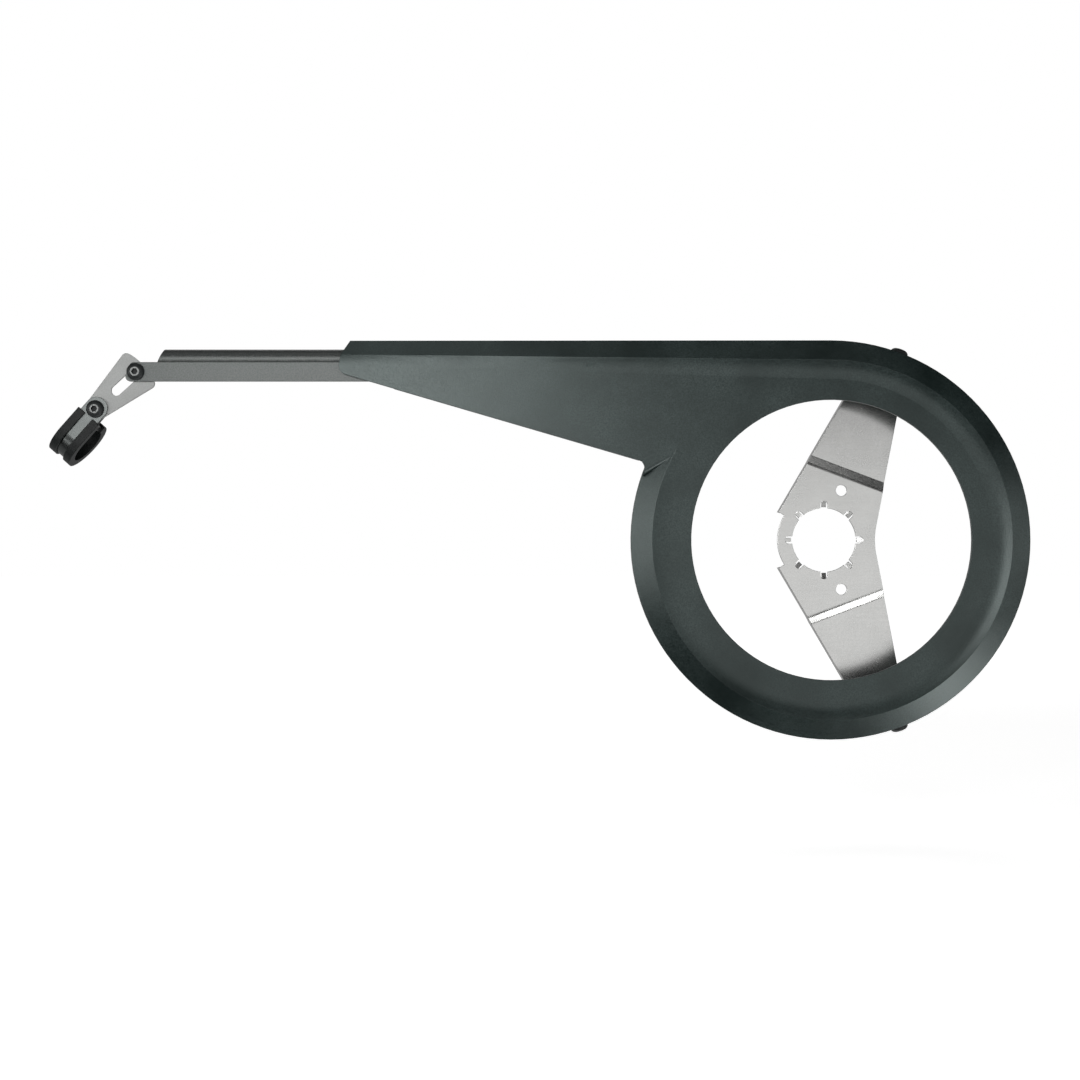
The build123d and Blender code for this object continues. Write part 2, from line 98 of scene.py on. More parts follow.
def power(name, description, default):
    """A lamp's power in watts."""
    return FloatProperty(name=name, description=description, default=default, min=0.0, unit="POWER")


class ShellFinish(bpy.types.PropertyGroup):
    """Moulded plastic of the guard and rubber of the clamp's lining."""

    plastic: tint("Plastic", "Colour of the guard's plastic", (0.0005, 0.0040, 0.0036))
    plastic_pale: tint("Plastic, pale grain", "Colour of the grain's high spots",
                       (0.0320, 0.0450, 0.0435))
    plastic_sheen: tint("Plastic sheen", "Tint of the plastic's reflections", (0.88, 1.0, 0.975))
    plastic_gloss: share("Plastic gloss", "Strength of the plastic's reflections", 0.7)
    plastic_roughness: share("Plastic roughness", "Mean roughness of the moulded surface", 0.33)
    grain_size: length("Grain size", "Width of one grain of the moulded surface", 0.0008)
    rubber_gloss: share("Rubber gloss", "Strength of the rubber's reflections", 0.2)
    rubber: tint("Rubber", "Colour of the clamp's lining", (0.0045, 0.0058, 0.0056))
    rubber_pale: tint("Rubber, pale", "Colour of the lining's scuffed spots", (0.009, 0.0105, 0.0102))


class MetalFinish(bpy.types.PropertyGroup):
    """Plated and painted metal."""

    zinc: tint("Zinc", "Colour of the plated bottom bracket plate", (0.66, 0.66, 0.647))
    zinc_dark: tint("Zinc, dull", "Colour of the plating's dull spots", (0.53, 0.53, 0.52))
    link: tint("Link", "Colour of the stay link", (0.34, 0.345, 0.34))
    link_dark: tint("Link, dull", "Colour of the link's dull spots", (0.25, 0.255, 0.25))
    band: tint("Band", "Colour of the clamp's band", (0.105, 0.112, 0.110))
    band_dark: tint("Band, dull", "Colour of the band's dull lines", (0.080, 0.086, 0.084))
    extension: tint("Extension", "Colour of the extension arm's finish", (0.115, 0.121, 0.118))
    extension_dark: tint("Extension, dark", "Colour of the finish's dark grain", (0.060, 0.066, 0.064))
    black: tint("Black oxide", "Colour of the bolts", (0.012, 0.014, 0.014))
    black_worn: tint("Black oxide, worn", "Colour of the bolts' rubbed spots", (0.03, 0.032, 0.032))
    speck_size: length("Speck size", "Width of one speck of the plating", 0.0007)


class FastenerSizes(bpy.types.PropertyGroup):
    """Button head bolts, pan screws and nuts."""

    brim: length("Brim", "Height of a head's straight brim", 0.0005)
    head_height: length("Head height", "Height of a button head", 0.00275)
    head_radius: length("Head radius", "Radius of a button head", 0.00475)
    flat_radius: length("Flat radius", "Radius of the flat round the socket", 0.0024)
    socket_flats: length("Socket", "Width across the flats of the socket", 0.003)
    socket_depth: length("Socket depth", "Depth of the socket", 0.0016)
    shank_radius: length("Shank radius", "Outer radius of the thread", 0.0025)
    pitch: length("Pitch", "Rise of one turn of the thread", 0.0008)
    thread_depth: length("Thread depth", "Height of the thread's ridge", 0.00035)
    nut_flats: length("Nut", "Width across the flats of a nut", 0.008)
    nut_height: length("Nut height", "Height of a nut", 0.004)
    nut_chamfer: length("Nut chamfer", "Height of a nut's chamfered corners", 0.0005)
    rim_shank_length: length("Rim shank", "Length of a rim screw's shank", 0.01082)
    rim_nut_radius: length("Rim nut seat", "Radius at which the rim screws' nuts seat", 0.10148)
    slide_head_radius: length("Slide head radius", "Head radius of the extension's screws", 0.0036)
    slide_head_height: length("Slide head height", "Head height of the extension's screws", 0.0024)
    slide_shank_radius: length("Slide shank radius", "Thread radius of the extension's screws", 0.00175)
    round_sides: IntProperty(name="Round sides", description="Number of sides of a round head",
                             default=48, min=12)


class StageSetup(bpy.types.PropertyGroup):
    """Floor, lamps and camera."""

    floor_drop: length("Floor drop", "Gap between the guard and the floor", 0.05)
    floor_size: length("Floor size", "Width of the floor", 12.0)
    camera_place: FloatVectorProperty(name="Camera place", description="Where the camera stands",
                                      default=(-0.1558, -0.890, 0.0), size=3, subtype="TRANSLATION")
    lens: FloatProperty(name="Lens", description="Focal length on a 36 mm sensor, in millimetres",
                        default=54.0, min=10.0)
    studio_level: share("Studio level", "Brightness of the studio in front of the guard", 0.018)
    backdrop_level: share("Backdrop level", "Share of the white backdrop that the guard mirrors", 0.4)
    front_power: power("Front panel", "Power of the panel beside the camera, on the right", 1.38)
    left_power: power("Left panel", "Power of the small panel beside the camera, on the left", 3.3)
    side_power: power("Side panel", "Power of the panel at the left side", 10.0)
    low_power: power("Low panel", "Power of the panel on the lower right", 7.3)
    right_power: power("Right panel", "Power of the panel at the right side", 2.9)
    upper_power: power("Upper panel", "Power of the panel on the upper left", 0.52)
    sky_power: power("Sky panel", "Power of the small panel high in front of the guard", 0.56)
    under_power: power("Under panel", "Power of the white panel below the guard", 3.6)
    top_power: power("Top lamp", "Power of the lamp over the floor", 4.0)


class ChainGuardSettings(bpy.types.PropertyGroup):
    """All settings of the chain guard."""

    shell: PointerProperty(type=ShellFinish)
    metal: PointerProperty(type=MetalFinish)
    fasteners: PointerProperty(type=FastenerSizes)
    stage: PointerProperty(type=StageSetup)


# Node helpers


def feed(tree, target, feeds):
    """Feeds a node's inputs from sockets or values."""
    for key, value in feeds.items():
        if isinstance(value, bpy.types.NodeSocket):
            tree.links.new(value, target.inputs[key])
        else:
            target.inputs[key].default_value = value


def node(tree, kind, feeds=None, **settings):
    """Adds a node, sets its settings and feeds its inputs."""
    added = tree.nodes.new(kind)
    for key, value in settings.items():
        setattr(added, key, value)
    feed(tree, added, feeds or {})
    return added


def math_node(tree, operation, first, second=0.0, clamp=False):
    """The result of a sum on one or two values."""
    added = node(tree, "ShaderNodeMath", {0: first, 1: second}, operation=operation, use_clamp=clamp)
    return added.outputs[0]


def blend_colours(tree, factor, low, high):
    """A colour between two others, which are inputs 6 and 7 of a Mix node and leave at output 2."""
    return node(tree, "ShaderNodeMix", {0: factor, 6: low, 7: high}, data_type="RGBA").outputs[2]


def ranged(tree, value, from_low, from_high, to_low, to_high, smooth=False):
    """A value carried from one range to another."""
    added = node(tree, "ShaderNodeMapRange",
                 {0: value, 1: from_low, 2: from_high, 3: to_low, 4: to_high},
                 interpolation_type="SMOOTHSTEP" if smooth else "LINEAR")
    return added.outputs[0]


def parts_of(tree, vector):
    """The X, Y and Z parts of a vector."""
    return node(tree, "ShaderNodeSeparateXYZ", {0: vector}).outputs


def rgba(colour):
    """A colour with full opacity."""
    return (colour[0], colour[1], colour[2], 1.0)


def new_group(name, kind, inputs, outputs):
    """A node group with named sockets, and its input and output nodes."""
    group = bpy.data.node_groups.new(name, kind)
    for socket_name, socket_type, default in inputs:
        socket = group.interface.new_socket(socket_name, in_out="INPUT", socket_type=socket_type)
        if default is not None:
            socket.default_value = default
    for socket_name, socket_type in outputs:
        group.interface.new_socket(socket_name, in_out="OUTPUT", socket_type=socket_type)
    return group, group.nodes.new("NodeGroupInput"), group.nodes.new("NodeGroupOutput")


# Effects that several finishes share


def noise(group, place, scale, detail, roughness):
    """Noise from 0 to 1."""
    texture = node(group, "ShaderNodeTexNoise",
                   {"Vector": place, "Scale": scale, "Detail": detail, "Roughness": roughness})
    return ranged(group, texture.outputs[0], NOISE_LOW, NOISE_HIGH, 0.0, 1.0)


def grain_group():
    """Fine grain with slow, wide changes of tone."""
    name = "Fine grain"
    if name in bpy.data.node_groups:
        return bpy.data.node_groups[name]
    group, given, result = new_group(
        name, "ShaderNodeTree",
        [("Vector", "NodeSocketVector", None), ("Grain Scale", "NodeSocketFloat", 2000.0),
         ("Cloud Scale", "NodeSocketFloat", 30.0)],
        [("Grain", "NodeSocketFloat"), ("Cloud", "NodeSocketFloat")])
    place = given.outputs["Vector"]
    feed(group, result, {
        "Grain": noise(group, place, given.outputs["Grain Scale"], detail=3.0, roughness=0.62),
        "Cloud": noise(group, place, given.outputs["Cloud Scale"], detail=4.0, roughness=0.55)})
    return group


def rolled_group():
    """Faint lines of rolled sheet, drawn out along X."""
    name = "Rolled lines"
    if name in bpy.data.node_groups:
        return bpy.data.node_groups[name]
    group, given, result = new_group(
        name, "ShaderNodeTree",
        [("Vector", "NodeSocketVector", None), ("Line Scale", "NodeSocketFloat", 1500.0),
         ("Draw", "NodeSocketFloat", 0.03)],
        [("Line", "NodeSocketFloat")])
    drawn = node(group, "ShaderNodeCombineXYZ", {0: given.outputs["Draw"], 1: 1.0, 2: 1.0})
    place = node(group, "ShaderNodeVectorMath", {0: given.outputs["Vector"], 1: drawn.outputs[0]},
                 operation="MULTIPLY").outputs[0]
    feed(group, result, {
        "Line": noise(group, place, given.outputs["Line Scale"], detail=4.0, roughness=0.7)})
    return group


def place_group(tree, group, feeds):
    """A shared effect inside a material, with its own values."""
    return node(tree, "ShaderNodeGroup", feeds, node_tree=group)


# Finishes


def start_finish(name):
    """An empty material with its shader, output and object coordinates."""
    finish = bpy.data.materials.new(name)
    finish.use_nodes = True
    tree = finish.node_tree
    tree.nodes.clear()
    shader = tree.nodes.new("ShaderNodeBsdfPrincipled")
    node(tree, "ShaderNodeOutputMaterial", {"Surface": shader.outputs[0]})
    place = tree.nodes.new("ShaderNodeTexCoord").outputs["Object"]
    return finish, tree, shader, place


def rounded_bump(tree, shader, height, edge_radius, strength, distance):
    """Bump on edges that are softened to a small radius."""
    edge = node(tree, "ShaderNodeBevel", {"Radius": edge_radius}, samples=8)
    bump = node(tree, "ShaderNodeBump",
                {"Strength": strength, "Distance": distance, "Height": height,
                 "Normal": edge.outputs[0]})
    feed(tree, shader, {"Normal": bump.outputs[0]})


def moulded_plastic(shell):
    """Satin black plastic with a fine moulded grain."""
    finish, tree, shader, place = start_finish("moulded_plastic")
    effect = place_group(tree, grain_group(),
                         {"Vector": place, "Grain Scale": 1.0 / shell.grain_size, "Cloud Scale": 26.0})
    grain = effect.outputs["Grain"]
    paler = math_node(tree, "MULTIPLY", grain, effect.outputs["Cloud"])
    smoother, rougher = 0.05, 0.07
    feed(tree, shader, {
        "Base Color": blend_colours(tree, paler, rgba(shell.plastic), rgba(shell.plastic_pale)),
        "Roughness": ranged(tree, grain, 0.0, 1.0,
                            shell.plastic_roughness - smoother, shell.plastic_roughness + rougher),
        "Specular Tint": rgba(shell.plastic_sheen),
        "Specular IOR Level": shell.plastic_gloss})
    rounded_bump(tree, shader, grain, edge_radius=0.0003, strength=0.22, distance=0.00007)
    return finish


def plated_steel(name, bright, dull, speck, roughness, turn, line_share, relief=0.1):
    """Satin plated steel with specks, and faint rolled lines turned about Y by an angle in radians."""
    finish, tree, shader, place = start_finish(name)
    turned = node(tree, "ShaderNodeMapping", {"Vector": place, "Rotation": (0.0, turn, 0.0)})
    effect = place_group(tree, grain_group(),
                         {"Vector": place, "Grain Scale": 1.0 / speck, "Cloud Scale": 60.0})
    lines = place_group(tree, rolled_group(), {"Vector": turned.outputs[0], "Line Scale": 2200.0})
    specks = math_node(tree, "MULTIPLY", effect.outputs["Grain"], 1.0 - line_share)
    speckle = math_node(tree, "ADD", specks,
                        math_node(tree, "MULTIPLY", lines.outputs["Line"], line_share))
    # Specks and clouds both add roughness; at the usual relief their mean is taken off again
    cloud_dulling, mean_dulling = 0.06, 0.08
    dulled = math_node(tree, "ADD", math_node(tree, "MULTIPLY", speckle, relief),
                       math_node(tree, "MULTIPLY", effect.outputs["Cloud"], cloud_dulling))
    feed(tree, shader, {
        "Base Color": blend_colours(tree, speckle, rgba(dull), rgba(bright)),
        "Metallic": 1.0,
        "Roughness": math_node(tree, "ADD", dulled, roughness - mean_dulling)})
    rounded_bump(tree, shader, speckle, edge_radius=0.0003, strength=relief, distance=0.00004)
    return finish


def speckled_grey(metal):
    """Grey metallic paint of the extension arm, with a coarse speckle."""
    finish, tree, shader, place = start_finish("speckled_grey")
    effect = place_group(tree, grain_group(),
                         {"Vector": place, "Grain Scale": 1.0 / metal.speck_size, "Cloud Scale": 45.0})
    grain = effect.outputs["Grain"]
    smooth, rough = 0.36, 0.46
    feed(tree, shader, {
        "Base Color": blend_colours(tree, grain, rgba(metal.extension_dark), rgba(metal.extension)),
        "Metallic": 0.7,
        "Roughness": ranged(tree, grain, 0.0, 1.0, smooth, rough)})
    rounded_bump(tree, shader, grain, edge_radius=0.0004, strength=0.30, distance=0.00007)
    return finish


def black_oxide(metal):
    """Blackened steel of the bolts, rubbed in places."""
    finish, tree, shader, place = start_finish("black_oxide")
    effect = place_group(tree, grain_group(),
                         {"Vector": place, "Grain Scale": 2600.0, "Cloud Scale": 500.0})
    grain = effect.outputs["Grain"]
    # Random spots of wear on the oxide, with no light painted in them
    rubbed = math_node(tree, "MULTIPLY", effect.outputs["Cloud"], grain)
    smooth, rough = 0.36, 0.48
    feed(tree, shader, {
        "Base Color": blend_colours(tree, rubbed, rgba(metal.black), rgba(metal.black_worn)),
        "Roughness": ranged(tree, grain, 0.0, 1.0, smooth, rough),
        "Specular IOR Level": 0.18})
    rounded_bump(tree, shader, grain, edge_radius=0.0002, strength=0.08, distance=0.00003)
    return finish


def lining_rubber(shell):
    """Matt black rubber with a fine bloom."""
    finish, tree, shader, place = start_finish("lining_rubber")
    effect = place_group(tree, grain_group(),
                         {"Vector": place, "Grain Scale": 1800.0, "Cloud Scale": 220.0})
    grain = effect.outputs["Grain"]
    bloom = math_node(tree, "MULTIPLY", effect.outputs["Cloud"], grain)
    smooth, rough = 0.36, 0.50
    feed(tree, shader, {
        "Base Color": blend_colours(tree, bloom, rgba(shell.rubber), rgba(shell.rubber_pale)),
        "Roughness": ranged(tree, grain, 0.0, 1.0, smooth, rough),
        "Specular IOR Level": shell.rubber_gloss})
    rounded_bump(tree, shader, grain, edge_radius=0.0006, strength=0.14, distance=0.00005)
    return finish


def dress(node_name, finish):
    """Puts a finish in a CAD node's material slots."""
    for material_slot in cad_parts[node_name].material_slots:
        material_slot.material = finish


# Shapes of the fasteners


def round_body(tree, sides, segments):
    """A cylinder of radius 1 and height 1 about the origin, and the parts of its points' places."""
    body = node(tree, "GeometryNodeMeshCylinder",
                {"Vertices": sides, "Side Segments": segments, "Radius": 1.0, "Depth": 1.0})
    spot = parts_of(tree, tree.nodes.new("GeometryNodeInputPosition").outputs[0])
    return body.outputs["Mesh"], spot


def reshape(tree, body, spot, radius, height):
    """Moves a round body's points to a radius and a height."""
    moved = node(tree, "ShaderNodeCombineXYZ",
                 {0: math_node(tree, "MULTIPLY", spot[0], radius),
                  1: math_node(tree, "MULTIPLY", spot[1], radius), 2: height})
    return node(tree, "GeometryNodeSetPosition",
                {"Geometry": body, "Position": moved.outputs[0]}).outputs[0]


def lift(tree, geometry, height):
    """A shape moved along Z."""
    step = node(tree, "ShaderNodeCombineXYZ", {2: height})
    return node(tree, "GeometryNodeTransform",
                {"Geometry": geometry, "Translation": step.outputs[0]}).outputs[0]


def boolean(tree, operation, first, second):
    """Two solids cut or crossed."""
    added = node(tree, "GeometryNodeMeshBoolean", operation=operation, solver="EXACT")
    if operation == "DIFFERENCE":
        tree.links.new(first, added.inputs["Mesh 1"])
    else:
        tree.links.new(first, added.inputs["Mesh 2"])
    tree.links.new(second, added.inputs["Mesh 2"])
    return added.outputs[0]


def crisp(tree, geometry, angle):
    """Smooth faces with sharp edges past an angle."""
    smooth = node(tree, "GeometryNodeSetShadeSmooth",
                  {"Geometry": geometry, "Shade Smooth": True}, domain="FACE")
    bend = tree.nodes.new("GeometryNodeInputMeshEdgeAngle")
    sharp = node(tree, "FunctionNodeCompare", {0: bend.outputs[0], 1: angle},
                 data_type="FLOAT", operation="GREATER_THAN")
    return node(tree, "GeometryNodeSetShadeSmooth",
                {"Geometry": smooth.outputs[0], "Selection": sharp.outputs[0], "Shade Smooth": False},
                domain="EDGE").outputs[0]


def set_out(tree, points, shape):
    """One copy of a shape on each point, turned along the point's axis, as one mesh."""
    axis = node(tree, "GeometryNodeInputNamedAttribute", {"Name": "axis"}, data_type="FLOAT_VECTOR")
    turned = node(tree, "FunctionNodeAlignRotationToVector", {"Vector": axis.outputs[0]}, axis="Z")
    copies = node(tree, "GeometryNodeInstanceOnPoints",
                  {"Points": points, "Instance": shape, "Rotation": turned.outputs[0]})
    return node(tree, "GeometryNodeRealizeInstances", {"Geometry": copies.outputs[0]}).outputs[0]


def bolt_head(tree, value):
    """A straight brim under a quarter of an ellipse, with a hexagon socket."""
    segments = 9
    brim_share = 1.0 / segments
    body, spot = round_body(tree, value["Round Sides"], segments)
    rise = math_node(tree, "ADD", spot[2], 0.5)
    turn = math_node(tree, "MULTIPLY", ranged(tree, rise, brim_share, 1.0, 0.0, 1.0), math.pi / 2)
    dome = math_node(tree, "SUBTRACT", value["Head Radius"], value["Flat Radius"])
    radius = math_node(tree, "ADD", value["Flat Radius"],
                       math_node(tree, "MULTIPLY", dome, math_node(tree, "COSINE", turn)))
    brim = math_node(tree, "MULTIPLY", value["Brim"], ranged(tree, rise, 0.0, brim_share, 0.0, 1.0))
    over = math_node(tree, "SUBTRACT", value["Head Height"], value["Brim"])
    height = math_node(tree, "ADD", brim,
                       math_node(tree, "MULTIPLY", over, math_node(tree, "SINE", turn)))
    head = reshape(tree, body, spot, radius, height)
    # The cutter is centred on the head's top, so its lower half is the socket
    hexagon = node(tree, "GeometryNodeMeshCylinder",
                   {"Vertices": 6, "Radius": value["Socket Radius"],
                    "Depth": math_node(tree, "MULTIPLY", value["Socket Depth"], 2.0)})
    return boolean(tree, "DIFFERENCE", head, lift(tree, hexagon.outputs["Mesh"], value["Head Height"]))


def mark_flat(tree, head, head_height):
    """Marks the flat round the socket for bright metal: wear from the key, and a painted highlight in
    place of the light that the socket's edge catches.
    """
    top_share, level_share = 0.98, 0.9995
    facing = parts_of(tree, tree.nodes.new("GeometryNodeInputNormal").outputs[0])
    spot = parts_of(tree, tree.nodes.new("GeometryNodeInputPosition").outputs[0])
    high = math_node(tree, "GREATER_THAN", spot[2],
                     math_node(tree, "MULTIPLY", head_height, top_share))
    level = math_node(tree, "GREATER_THAN", facing[2], level_share)
    # The stored mark holds wear and a painted highlight: bright metal on the flat stands in for the
    # socket's lit edge
    return node(tree, "GeometryNodeStoreNamedAttribute",
                {"Geometry": head, "Name": "rubbed", "Value": math_node(tree, "MULTIPLY", high, level)},
                data_type="BOOLEAN", domain="FACE").outputs[0]


def bolt_shank(tree, value):
    """A core below the head, and the spiral ridge of its thread."""
    turn_points, ridge_sides = 24, 4
    core_radius = math_node(tree, "SUBTRACT", value["Shank Radius"], value["Thread Depth"])
    core = node(tree, "GeometryNodeMeshCylinder",
                {"Vertices": value["Round Sides"], "Radius": core_radius,
                 "Depth": value["Shank Length"]})
    core = lift(tree, core.outputs["Mesh"], math_node(tree, "MULTIPLY", value["Shank Length"], -0.5))
    run = math_node(tree, "SUBTRACT", value["Shank Length"], value["Pitch"])
    spiral = node(tree, "GeometryNodeCurveSpiral",
                  {"Resolution": turn_points,
                   "Rotations": math_node(tree, "DIVIDE", run, value["Pitch"]),
                   "Start Radius": core_radius, "End Radius": core_radius, "Height": run})
    ridge = node(tree, "GeometryNodeCurvePrimitiveCircle",
                 {"Resolution": ridge_sides, "Radius": value["Thread Depth"]}, mode="RADIUS")
    thread = node(tree, "GeometryNodeCurveToMesh",
                  {"Curve": spiral.outputs[0], "Profile Curve": ridge.outputs[0], "Fill Caps": True})
    start = math_node(tree, "SUBTRACT", math_node(tree, "MULTIPLY", value["Pitch"], 0.5),
                      value["Shank Length"])
    return core, lift(tree, thread.outputs[0], start)


def bolt_tree():
    """Bolts with a domed head, a hexagon socket and a rolled thread, one on each point."""
    name = "Button head bolts"
    if name in bpy.data.node_groups:
        return bpy.data.node_groups[name]
    sizes = ("Head Radius", "Head Height", "Brim", "Flat Radius", "Socket Radius", "Socket Depth",
             "Shank Radius", "Shank Length", "Pitch", "Thread Depth")
    tree, given, result = new_group(
        name, "GeometryNodeTree",
        [("Geometry", "NodeSocketGeometry", None)]
        + [(size, "NodeSocketFloat", 0.001) for size in sizes]
        + [("Round Sides", "NodeSocketInt", 48), ("Finish", "NodeSocketMaterial", None),
           ("Wear And Highlight Finish", "NodeSocketMaterial", None)],
        [("Geometry", "NodeSocketGeometry")])
    value = {socket.name: socket for socket in given.outputs}
    head = mark_flat(tree, bolt_head(tree, value), value["Head Height"])
    core, thread = bolt_shank(tree, value)
    whole = tree.nodes.new("GeometryNodeJoinGeometry")
    for shape in (head, core, thread):
        tree.links.new(shape, whole.inputs[0])
    spread = set_out(tree, value["Geometry"],
                     crisp(tree, whole.outputs[0], angle=math.radians(40)))
    black = node(tree, "GeometryNodeSetMaterial", {"Geometry": spread, "Material": value["Finish"]})
    # The marked flat takes bright metal: key wear, and a painted highlight of the socket's lit edge
    rubbed = node(tree, "GeometryNodeInputNamedAttribute", {"Name": "rubbed"}, data_type="BOOLEAN")
    bright = node(tree, "GeometryNodeSetMaterial",
                  {"Geometry": black.outputs[0], "Selection": rubbed.outputs[0],
                   "Material": value["Wear And Highlight Finish"]})
    tree.links.new(bright.outputs[0], result.inputs[0])
    return tree


def corner_cutter(tree, value, corner, half):
    """A round body, narrow at both ends, that takes the corners off a nut."""
    end_share, inner_share, outer_share, overlap = 0.3, 0.485, 1.02, 0.00001
    body, spot = round_body(tree, value["Round Sides"], segments=3)
    end = math_node(tree, "GREATER_THAN", math_node(tree, "ABSOLUTE", spot[2]), end_share)
    inner = math_node(tree, "MULTIPLY", value["Flats"], inner_share)
    outer = math_node(tree, "MULTIPLY", corner, outer_share)
    radius = ranged(tree, end, 0.0, 1.0, outer, inner)
    straight = math_node(tree, "SUBTRACT", half, value["Chamfer"])
    reach = ranged(tree, end, 0.0, 1.0, straight, math_node(tree, "ADD", half, overlap))
    height = math_node(tree, "ADD", half,
                       math_node(tree, "MULTIPLY", reach, math_node(tree, "SIGN", spot[2])))
    return reshape(tree, body, spot, radius, height)


def nut_tree():
    """Hexagon nuts with chamfered corners, one on each point."""
    name = "Hexagon nuts"
    if name in bpy.data.node_groups:
        return bpy.data.node_groups[name]
    tree, given, result = new_group(
        name, "GeometryNodeTree",
        [("Geometry", "NodeSocketGeometry", None), ("Flats", "NodeSocketFloat", 0.008),
         ("Height", "NodeSocketFloat", 0.004), ("Chamfer", "NodeSocketFloat", 0.0005),
         ("Bore Radius", "NodeSocketFloat", 0.0025), ("Round Sides", "NodeSocketInt", 48),
         ("Finish", "NodeSocketMaterial", None)],
        [("Geometry", "NodeSocketGeometry")])
    value = {socket.name: socket for socket in given.outputs}
    corner = math_node(tree, "DIVIDE", value["Flats"], math.sqrt(3))
    half = math_node(tree, "MULTIPLY", value["Height"], 0.5)
    prism = node(tree, "GeometryNodeMeshCylinder",
                 {"Vertices": 6, "Radius": corner, "Depth": value["Height"]})
    prism = lift(tree, prism.outputs["Mesh"], half)
    nut = boolean(tree, "INTERSECT", prism, corner_cutter(tree, value, corner, half))
    # The bore's cutter reaches past both ends of the nut
    cutter_share = 3.0
    bore = node(tree, "GeometryNodeMeshCylinder",
                {"Vertices": value["Round Sides"], "Radius": value["Bore Radius"],
                 "Depth": math_node(tree, "MULTIPLY", value["Height"], cutter_share)})
    nut = boolean(tree, "DIFFERENCE", nut, bore.outputs["Mesh"])
    spread = set_out(tree, value["Geometry"], crisp(tree, nut, angle=math.radians(25)))
    plated = node(tree, "GeometryNodeSetMaterial", {"Geometry": spread, "Material": value["Finish"]})
    tree.links.new(plated.outputs[0], result.inputs[0])
    return tree


# Fasteners in their places


def grown(name, tree, seats, values):
    """A plain mesh object that a geometry tree grows on seats, which are points with axes."""
    mesh = bpy.data.meshes.new(name + "_seats")
    mesh.from_pydata([seat for seat, axis in seats], [], [])
    axes = mesh.attributes.new("axis", "FLOAT_VECTOR", "POINT")
    for index, (seat, axis) in enumerate(seats):
        axes.data[index].vector = axis
    piece = bpy.data.objects.new(name, mesh)
    bpy.context.scene.collection.objects.link(piece)
    grower = piece.modifiers.new("grow", "NODES")
    grower.node_group = tree
    for socket in tree.interface.items_tree:
        if socket.in_out == "INPUT" and socket.name in values:
            grower[socket.identifier] = values[socket.name]
    evaluated = piece.evaluated_get(bpy.context.evaluated_depsgraph_get())
    result = bpy.data.meshes.new_from_object(evaluated)
    piece.modifiers.remove(grower)
    piece.data = result
    result.name = name
    bpy.data.meshes.remove(mesh)
    if not result.polygons:
        raise RuntimeError(f"{name} has no faces")
    return piece


def join_object(piece, body, slot_name, *nodes):
    """Puts a piece on its body in place of CAD nodes."""
    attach(piece, body)
    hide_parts(*nodes)


def bolt_values(sizes, shank_length, finish, rubbed):
    """Inputs of the bolt tree for a button head bolt."""
    return {
        "Head Radius": sizes.head_radius, "Head Height": sizes.head_height, "Brim": sizes.brim,
        "Flat Radius": sizes.flat_radius, "Socket Radius": sizes.socket_flats / math.sqrt(3),
        "Socket Depth": sizes.socket_depth, "Shank Radius": sizes.shank_radius,
        "Shank Length": shank_length, "Pitch": sizes.pitch, "Thread Depth": sizes.thread_depth,
        "Round Sides": sizes.round_sides, "Finish": finish, "Wear And Highlight Finish": rubbed,
    }


def rim_axis(side):
    """Outward direction of a rim screw, upper (1) or lower (-1)."""
    angle = math.radians(RIM_SCREW_ANGLE)
    return Vector((math.cos(angle), 0.0, side * math.sin(angle)))


def rim_seats(radius, level, inward=False):
    """Seats on the axes of the two rim screws."""
    facing = -1.0 if inward else 1.0
    return [(rim_axis(side) * radius + Vector((0.0, level, 0.0)), rim_axis(side) * facing)
            for side in (1, -1)]


def make_pivot_bolts(sizes, black, rubbed):
    """The bolts of the link and of the clamp, with their heads to the front."""
    for node_name, body in (("link_bolt", "link_pivot"), ("clamp_bolt", "clamp")):
        low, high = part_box(node_name)
        seat = Vector(((low.x + high.x) / 2, low.y + sizes.head_height, (low.z + high.z) / 2))
        bolt = grown(node_name + "_threaded", bolt_tree(), [(seat, (0.0, -1.0, 0.0))],
                     bolt_values(sizes, high.y - seat.y, black, rubbed))
        join_object(bolt, body, "black_steel", node_name)


def make_rim_screws(sizes, black, rubbed):
    """Screws that point outward from the rim, with shanks that reach in past their nuts."""
    low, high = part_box("rim_screws")
    rim_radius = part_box("guard_shell")[1].x
    rim_screws = grown("rim_screws_threaded", bolt_tree(), rim_seats(rim_radius, (low.y + high.y) / 2),
                       bolt_values(sizes, sizes.rim_shank_length, black, rubbed))
    join_object(rim_screws, "guard", "black_steel", "rim_screws")


def make_slide_screws(sizes, black, rubbed):
    """The extension's pan screws, with their heads towards the bicycle."""
    low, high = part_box("slide_screws")
    seat_level = high.y - sizes.slide_head_height
    middle = (low.z + high.z) / 2
    seats = [(Vector((across, seat_level, middle)), (0.0, 1.0, 0.0))
             for across in (low.x + sizes.slide_head_radius, high.x - sizes.slide_head_radius)]
    pan_values = bolt_values(sizes, seat_level - low.y, black, rubbed)
    pan_values.update({
        "Head Radius": sizes.slide_head_radius, "Head Height": sizes.slide_head_height,
        "Flat Radius": sizes.slide_head_radius / 2, "Shank Radius": sizes.slide_shank_radius,
        "Socket Radius": sizes.slide_head_radius / 3, "Socket Depth": sizes.slide_head_height / 2})
    slide_screws = grown("slide_screws_threaded", bolt_tree(), seats, pan_values)
    join_object(slide_screws, "guard", "black_steel", "slide_screws")


